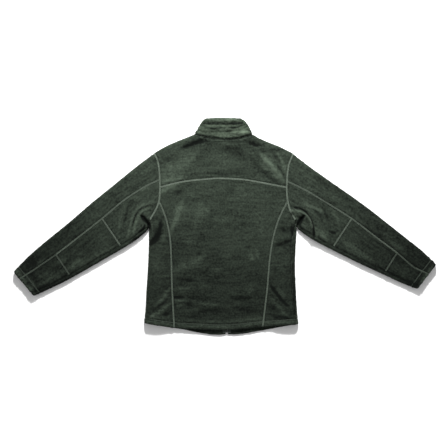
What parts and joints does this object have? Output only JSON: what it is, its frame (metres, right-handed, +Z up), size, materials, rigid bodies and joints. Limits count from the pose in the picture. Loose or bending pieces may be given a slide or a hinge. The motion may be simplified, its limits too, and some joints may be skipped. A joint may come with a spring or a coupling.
{
  "type": "fleece jacket",
  "caption": "Full-zip fleece jacket with stand-up collar and panelled sleeves, laid flat face down with its back up.",
  "frame": {"origin": "centre of the footprint on the surface that the jacket lies on", "axes": "+Z up from the surface, +Y from hem to collar, +X towards the wearer's right sleeve, which is on the right as the back is seen"},
  "size_m": [1.5608, 0.8044, 0.03],
  "materials": {
    "fleece": "thick brushed pile fleece, dark green, contrast grey-green seam stitching",
    "collar_fleece": "doubled brushed pile fleece, dark green",
    "zip_tape": "woven tape, dark green black",
    "zip_teeth": "moulded teeth, dark",
    "zip_metal": "dark painted slider, pull and box"
  },
  "bodies": {
    "jacket": {"back_yoke": "fleece", "back_center": "fleece", "back_side_left": "fleece", "back_side_right": "fleece", "front_left": "fleece", "front_right": "fleece", "sleeve_main_left": "fleece", "sleeve_back_upper_left": "fleece", "sleeve_elbow_left": "fleece", "sleeve_forearm_left": "fleece", "sleeve_main_right": "fleece", "sleeve_back_upper_right": "fleece", "sleeve_elbow_right": "fleece", "sleeve_forearm_right": "fleece", "collar": "collar_fleece", "zip_tape_left": "zip_tape", "zip_tape_right": "zip_tape", "zip_chain": "zip_teeth", "zip_slider": "zip_metal", "zip_box": "zip_metal"},
    "pull": {"zip_pull": "zip_metal"}
  },
  "joints": [
    {"name": "pull_hinge", "type": "hinge", "parent": "jacket", "child": "pull", "pos_m": [-0.00432, 0.33644, 0.0022], "axis": [0.9999, 0.0147, 0], "range_deg": [0, 120]}
  ]
}
